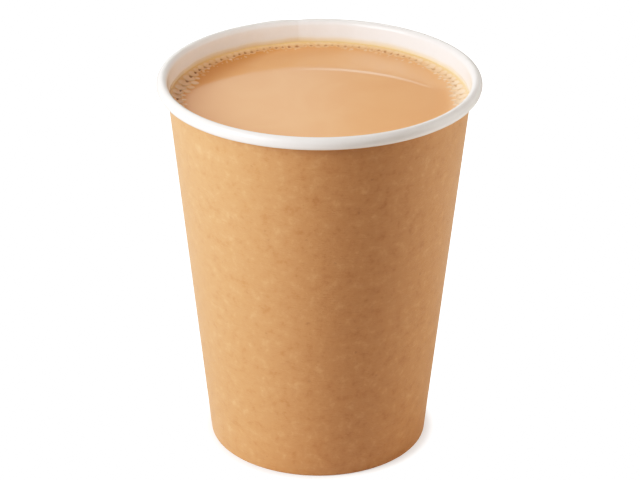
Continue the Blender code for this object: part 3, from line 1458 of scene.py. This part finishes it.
@dataclass
class Studio:
    """A pale floor, a white surround, soft lights and the camera. Angles are in degrees."""

    floor_size: float = 6.0
    floor_tone: Colour = (0.82, 0.775, 0.725)
    floor_roughness: float = 0.9
    floor_glow: Span = (0.3, 1.0)
    glow_span: Span = (31.4 * MM, 35.6 * MM)
    surround_mirrored: float = 0.45
    window_mirrored: float = 0.85
    window_right: float = 89.6
    window_soft: float = 1.3
    window_left: Span = (35, 20)
    glint_radius: float = 42.7 * MM
    glint_height: float = 110.5 * MM
    glint_width: float = 0.9 * MM
    glint_span: Span = (26, 118)
    glint_steps: int = 61
    glint_rows: int = 5
    glint_mirrored: float = 1.9
    target: float = 60 * MM
    camera_elevation: float = 25.82
    camera_distance: float = 0.7215
    camera_aim: float = 59.42 * MM
    camera_roll: float = 0.25
    focal_length: float = 142.6
    sensor: float = 36.0
    shift: float = 0.0021
    # Each light's name, azimuth, elevation, distance, size, power and colour.
    softboxes: tuple[Softbox, ...] = (
        Softbox("key", 215, 40, 0.3, 0.2, 0.44, (1.0, 0.98, 0.95), mirrored=True),
        Softbox("left", 200, 17, 0.8, 0.4, 4.1, (0.96, 0.965, 1.05)),
        Softbox("back_left", 120, 26, 0.8, 0.5, 2.8, (1.0, 0.95, 0.86)),
        Softbox("right", 0, 20, 0.3, 0.2, 0.45, (1.0, 0.96, 0.93)),
        Softbox("top", 270, 88, 0.8, 0.5, 0.25, (1.0, 0.86, 0.7)),
    )

    def build_floor(self) -> None:
        """The floor, which is no part of the cup: a matt warm white, with a glow that only the camera
        sees and that is weaker within glow_span of the axis, so that it stays white but for the shade
        at the foot."""
        half = self.floor_size / 2
        corners = np.array([[-half, -half, 0], [half, -half, 0], [half, half, 0], [-half, half, 0]])
        material, sheet, shader = new_material("white_floor")
        seen = sheet.add("ShaderNodeLightPath").outputs["Is Camera Ray"]
        away = sheet.add("ShaderNodeVectorMath", operation="LENGTH")
        distance = sheet.feed(away, Vector=sheet.place()).outputs["Value"]
        glow = sheet.range(distance, *self.glow_span, *self.floor_glow)
        sheet.feed(
            shader,
            Base_Color=self.floor_tone,
            Roughness=self.floor_roughness,
            Emission_Color=WHITE,
            Emission_Strength=sheet.maths("MULTIPLY", seen, glow),
        )
        floor = Surface(corners, [np.array([[0, 1, 2, 3]])]).to_object("floor", material, FLAT_CREASE)

    def build_glint(self) -> None:
        """A narrow bright strip that follows the rim's back right just above it, tapers to both ends
        and glows most along its middle. Only reflections see it, and the tea mirrors it as a thin
        line that runs out at both ends."""
        share = np.linspace(0, 1, self.glint_steps)
        across = np.linspace(-1, 1, self.glint_rows)[:, None]
        height = self.glint_height + self.glint_width / 2 * across * np.sin(math.pi * share)
        start, end = (math.radians(angle) for angle in self.glint_span)
        points = turned_points(self.glint_radius, height, between((start, end), share))
        glow = (1 - across**2) * np.sin(math.pi * share)
        material, sheet, shader = new_material("glint")
        bright = sheet.range(sheet.mark(Mark.GLOW), 0, 1, self.surround_mirrored, self.glint_mirrored)
        sheet.feed(shader, Base_Color=BLACK, Roughness=1, Emission_Color=WHITE, Emission_Strength=bright)
        strip = Surface(points, [grid_quads(*height.shape, closed=False)], {Mark.GLOW: glow})
        glint = strip.to_object("glint", material, FLAT_CREASE)
        glint.visible_camera = glint.visible_diffuse = glint.visible_shadow = False

    def build_world(self) -> None:
        """The surround: white where it is seen, and dimmer in reflections, apart from a window at the
        back left. Its right edge stands at the azimuth window_right, and its left side fades out
        between the two angles of window_left beyond that. The surround gives no light."""
        world = bpy.data.worlds.new("white_surround")
        world.use_nodes = True
        sheet = NodeSheet(world.node_tree)
        path = sheet.add("ShaderNodeLightPath").outputs
        direction = sheet.add("ShaderNodeTexCoord").outputs["Generated"]
        way = sheet.feed(sheet.add("ShaderNodeSeparateXYZ"), Vector=direction).outputs
        azimuth = sheet.maths("DEGREES", sheet.maths("ARCTAN2", way["Y"], way["X"]))
        edge, soft = self.window_right, self.window_soft
        right = sheet.range(azimuth, edge - soft, edge + soft)
        left = sheet.range(azimuth, *(edge + beyond for beyond in self.window_left))
        window = sheet.maths("MULTIPLY", right, left)
        more = self.window_mirrored - self.surround_mirrored
        mirrored = sheet.maths("MULTIPLY_ADD", window, more, self.surround_mirrored)
        strength = sheet.maths("MULTIPLY_ADD", path["Is Glossy Ray"], mirrored, path["Is Camera Ray"])
        sheet.feed(world.node_tree.nodes["Background"], Color=WHITE, Strength=strength)
        bpy.context.scene.world = world

    def build_camera(self) -> None:
        """The camera, which looks down on the front of the cup."""
        lens = bpy.data.cameras.new("camera")
        lens.lens, lens.sensor_width, lens.shift_x = self.focal_length, self.sensor, self.shift
        camera = bpy.data.objects.new("camera", lens)
        above = math.radians(self.camera_elevation)
        flat, up = self.camera_distance * math.cos(above), self.camera_distance * math.sin(above)
        camera.location = (0, -flat, self.camera_aim + up)
        aim = Euler((math.pi / 2 - above, 0, 0)).to_quaternion()
        roll = Quaternion((0, 0, 1), math.radians(self.camera_roll))
        camera.rotation_euler = (aim @ roll).to_euler()
        bpy.context.scene.collection.objects.link(camera)
        bpy.context.scene.camera = camera

    def build(self) -> None:
        """Sets the whole studio."""
        self.build_floor()
        self.build_glint()
        self.build_world()
        for softbox in self.softboxes:
            softbox.build(self.target)
        self.build_camera()
        ToneCurve().set_on(bpy.context.scene.view_settings)


def main() -> None:
    """Builds the cup, the tea and the studio, in that order."""
    logging.basicConfig(level=logging.INFO, format="%(name)s: %(message)s")
    form = CupForm()
    lining = LiningFinish().material()
    pieces = BoardWall(form).build(KraftFinish().material(), lining)
    pieces.append(BaseDisc(form).build(BareBoardFinish().material()))
    pieces += Tea(form).build(TeaFinish().material(), FilmFinish().material())
    for piece in pieces:
        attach(piece, "root")
        LOG.info("%s: %d faces", piece.name, len(piece.data.polygons))
    Studio().build()


if __name__ == "__main__":
    main()
